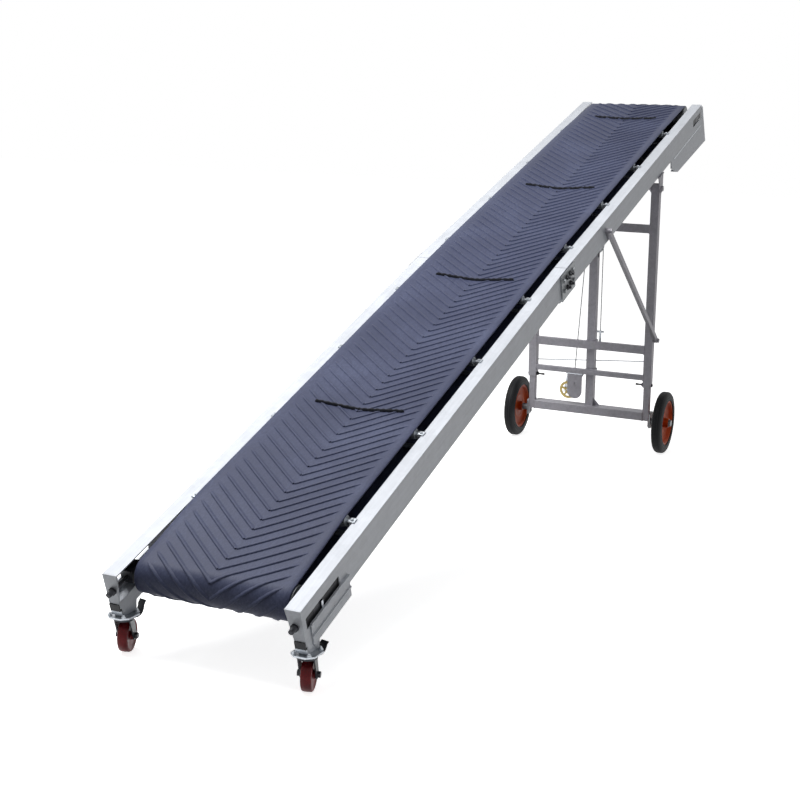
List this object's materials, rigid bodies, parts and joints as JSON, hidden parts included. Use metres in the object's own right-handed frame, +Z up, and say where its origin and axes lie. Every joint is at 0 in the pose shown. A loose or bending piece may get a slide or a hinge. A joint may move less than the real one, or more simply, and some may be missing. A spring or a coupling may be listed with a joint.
{
  "type": "mobile belt conveyor",
  "caption": "Inclined mobile belt conveyor with a troughed chevron belt between channel rails, swivel casters at the tail and a winch-raised wheeled stand under the head",
  "frame": {"origin": "middle of the whole on the floor", "axes": "+X from tail to head, +Y to the left seen from the tail, +Z up"},
  "size_m": [4.4298, 0.8518, 1.7283],
  "materials": {
    "galvanised_rail": "satin",
    "galvanised_tube": "satin",
    "zinc_steel": "satin",
    "drum_steel": "satin",
    "belt_rubber": "matte",
    "tyre_rubber": "matte",
    "disc_paint": "satin",
    "caster_red": "satin",
    "black_plastic": "matte",
    "yellow_zinc": "satin",
    "wire_rope": "satin"
  },
  "bodies": {
    "conveyor": {"rail_lower_left": "galvanised_rail", "rail_lower_right": "galvanised_rail", "rail_upper_left": "galvanised_rail", "rail_upper_right": "galvanised_rail", "splices": "galvanised_rail", "cross_tubes": "galvanised_tube", "tail_end_plates": "galvanised_rail", "take_ups": "zinc_steel", "tail_pulley": "drum_steel", "head_drum": "drum_steel", "drum_blocks": "zinc_steel", "head_plate_left": "galvanised_rail", "head_plate_right": "galvanised_rail", "belt": "belt_rubber", "carrying_rollers": "zinc_steel", "idler_hangers": "galvanised_tube", "return_rollers": "zinc_steel", "tail_feet": "galvanised_tube", "foot_plugs": "black_plastic", "caster_plates": "zinc_steel", "pivot_brackets": "galvanised_tube", "upright_left": "galvanised_tube", "upright_right": "galvanised_tube", "lock_handles": "black_plastic", "struts": "galvanised_tube", "strut_bolts": "galvanised_tube", "top_bar": "galvanised_tube", "mid_bar": "galvanised_tube", "low_bar": "galvanised_tube", "lock_wire": "zinc_steel", "rope_anchor": "zinc_steel", "rope_anchor_leg": "wire_rope", "winch_frame": "zinc_steel", "winch_cover": "zinc_steel", "winch_drum": "yellow_zinc", "rope_winch_leg": "wire_rope"},
    "stand": {"axle_beam": "galvanised_tube", "legs": "galvanised_tube", "stub_axles": "galvanised_tube", "mast": "galvanised_tube", "mast_sheave": "drum_steel", "rope_bend": "wire_rope"},
    "wheel_left": {"wheel_tyre_left": "tyre_rubber", "wheel_disc_left": "disc_paint"},
    "wheel_right": {"wheel_tyre_right": "tyre_rubber", "wheel_disc_right": "disc_paint"},
    "caster_left": {"caster_fork_left": "zinc_steel"},
    "caster_right": {"caster_fork_right": "zinc_steel"},
    "caster_wheel_left": {"caster_wheel_left": "caster_red"},
    "caster_wheel_right": {"caster_wheel_right": "caster_red"}
  },
  "joints": [
    {"name": "stand_height", "type": "slide", "parent": "conveyor", "child": "stand", "axis": [0.0958, 0, -0.9954], "range_m": [0, 0.34], "deforming": ["rope_winch_leg", "rope_anchor_leg"]},
    {"name": "wheel_left_spin", "type": "hinge", "parent": "stand", "child": "wheel_left", "pos_m": [1.4487, 0.3847, 0.154], "axis": [0, 1, 0], "continuous": true},
    {"name": "caster_left_swivel", "type": "hinge", "parent": "conveyor", "child": "caster_left", "pos_m": [-2.13009, 0.302, 0.126], "axis": [0, 0, 1], "continuous": true},
    {"name": "caster_wheel_left_spin", "type": "hinge", "parent": "caster_left", "child": "caster_wheel_left", "pos_m": [-2.09933, 0.31082, 0.05], "axis": [-0.2756, 0.9613, 0], "continuous": true},
    {"name": "wheel_right_spin", "type": "hinge", "parent": "stand", "child": "wheel_right", "pos_m": [1.4487, -0.3847, 0.154], "axis": [0, 1, 0], "continuous": true},
    {"name": "caster_right_swivel", "type": "hinge", "parent": "conveyor", "child": "caster_right", "pos_m": [-2.13009, -0.302, 0.126], "axis": [0, 0, 1], "continuous": true},
    {"name": "caster_wheel_right_spin", "type": "hinge", "parent": "caster_right", "child": "caster_wheel_right", "pos_m": [-2.09933, -0.29318, 0.05], "axis": [-0.2756, 0.9613, 0], "continuous": true}
  ]
}
